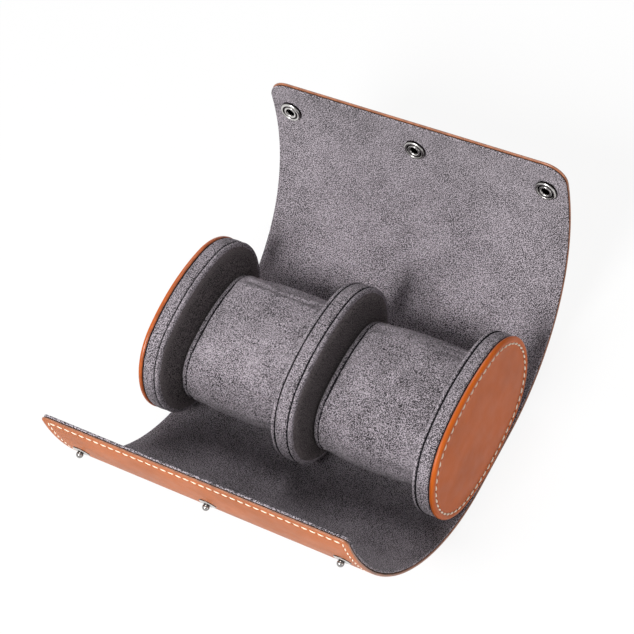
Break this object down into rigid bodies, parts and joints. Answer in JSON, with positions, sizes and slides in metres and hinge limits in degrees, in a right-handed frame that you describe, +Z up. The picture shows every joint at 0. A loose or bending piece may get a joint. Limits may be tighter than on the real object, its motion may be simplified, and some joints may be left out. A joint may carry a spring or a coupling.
{
  "type": "watch travel case",
  "caption": "Open watch travel case: a leather wrap with snap fasteners curls round oval suede-lined dividers and lift-out cushions.",
  "frame": {"origin": "on the underside of the spine, at mid-length, under the middle of the oval dividers", "axes": "+X along the case to its right end, +Y towards the back flap, which is the lid, +Z up"},
  "size_m": [0.1812, 0.233, 0.1144],
  "materials": {
    "leather": "smooth cognac leather, satin, painted edges",
    "suede": "grey microsuede with a mottled nap",
    "board": null,
    "foam": "off-white foam",
    "nickel": "bright nickel plate"
  },
  "bodies": {
    "base": {"spine_leather": "leather", "spine_board": "board", "spine_lining": "suede", "left_end_plate": "leather", "left_divider_core": "board", "left_gusset_band": "suede", "left_rolled_edge": "suede", "left_inner_face": "suede", "right_end_plate": "leather", "right_divider_core": "board", "right_gusset_band": "suede", "right_rolled_edge": "suede", "right_inner_face": "suede", "middle_divider_core": "board", "middle_gusset_band": "suede", "middle_rolled_edges": "suede", "middle_face_left": "suede", "middle_face_right": "suede"},
    "front_1": {"front_leather_1": "leather", "front_board_1": "board", "front_lining_1": "suede"},
    "front_2": {"front_leather_2": "leather", "front_board_2": "board", "front_lining_2": "suede"},
    "front_3": {"front_leather_3": "leather", "front_board_3": "board", "front_lining_3": "suede"},
    "front_4": {"front_leather_4": "leather", "front_board_4": "board", "front_lining_4": "suede"},
    "front_5": {"front_leather_5": "leather", "front_board_5": "board", "front_lining_5": "suede", "snap_studs": "nickel", "stud_rivets": "nickel"},
    "back_1": {"back_leather_1": "leather", "back_board_1": "board", "back_lining_1": "suede"},
    "back_2": {"back_leather_2": "leather", "back_board_2": "board", "back_lining_2": "suede"},
    "back_3": {"back_leather_3": "leather", "back_board_3": "board", "back_lining_3": "suede"},
    "back_4": {"back_leather_4": "leather", "back_board_4": "board", "back_lining_4": "suede"},
    "lip": {"lip_leather": "leather", "lip_board": "board", "lip_lining": "suede", "snap_sockets": "nickel", "socket_caps": "nickel"},
    "left_cushion": {"left_cushion_foam": "foam", "left_cushion_sleeve": "suede", "left_cushion_ends": "suede"},
    "right_cushion": {"right_cushion_foam": "foam", "right_cushion_sleeve": "suede", "right_cushion_ends": "suede"}
  },
  "joints": [
    {"name": "front_flap_roll", "type": "hinge", "parent": "base", "child": "front_1", "pos_m": [0, -0.016, 0.0015], "axis": [1, 0, 0], "range_deg": [-10.4, 5]},
    {"name": "front_curl_2", "type": "hinge", "parent": "front_1", "child": "front_2", "pos_m": [0, -0.04626, 0.00732], "axis": [1, 0, 0], "range_deg": [-25.7, 12.4]},
    {"name": "front_curl_3", "type": "hinge", "parent": "front_2", "child": "front_3", "pos_m": [0, -0.07256, 0.02345], "axis": [1, 0, 0], "range_deg": [-29.1, 14]},
    {"name": "front_curl_4", "type": "hinge", "parent": "front_3", "child": "front_4", "pos_m": [0, -0.09232, 0.04717], "axis": [1, 0, 0], "range_deg": [-27.6, 13.3]},
    {"name": "front_curl_5", "type": "hinge", "parent": "front_4", "child": "front_5", "pos_m": [0, -0.10429, 0.07566], "axis": [1, 0, 0], "range_deg": [-7.8, 3.8]},
    {"name": "back_flap_roll", "type": "hinge", "parent": "base", "child": "back_1", "pos_m": [0, 0.02, 0.0015], "axis": [-1, 0, 0], "range_deg": [-17.5, 6]},
    {"name": "back_curl_2", "type": "hinge", "parent": "back_1", "child": "back_2", "pos_m": [0, 0.05204, 0.00669], "axis": [-1, 0, 0], "range_deg": [-33.4, 11.5]},
    {"name": "back_curl_3", "type": "hinge", "parent": "back_2", "child": "back_3", "pos_m": [0, 0.08073, 0.02187], "axis": [-1, 0, 0], "range_deg": [-26.4, 9.1]},
    {"name": "back_curl_4", "type": "hinge", "parent": "back_3", "child": "back_4", "pos_m": [0, 0.1027, 0.04573], "axis": [-1, 0, 0], "range_deg": [-16.2, 5.7]},
    {"name": "lip_peel", "type": "hinge", "parent": "back_4", "child": "lip", "pos_m": [0, 0.11585, 0.07542], "axis": [-1, 0, 0], "range_deg": [-6.8, 15]},
    {"name": "left_cushion_lift", "type": "slide", "parent": "base", "child": "left_cushion", "axis": [0, 0, 1], "range_m": [0, 0.085]},
    {"name": "right_cushion_lift", "type": "slide", "parent": "base", "child": "right_cushion", "axis": [0, 0, 1], "range_m": [0, 0.085]}
  ],
  "couplings": [
    {"joint": "front_curl_2", "follows": "front_flap_roll", "ratio": 2.46},
    {"joint": "front_curl_3", "follows": "front_flap_roll", "ratio": 2.78},
    {"joint": "front_curl_4", "follows": "front_flap_roll", "ratio": 2.64},
    {"joint": "front_curl_5", "follows": "front_flap_roll", "ratio": 0.74},
    {"joint": "back_curl_2", "follows": "back_flap_roll", "ratio": 1.9},
    {"joint": "back_curl_3", "follows": "back_flap_roll", "ratio": 1.5},
    {"joint": "back_curl_4", "follows": "back_flap_roll", "ratio": 0.92}
  ]
}
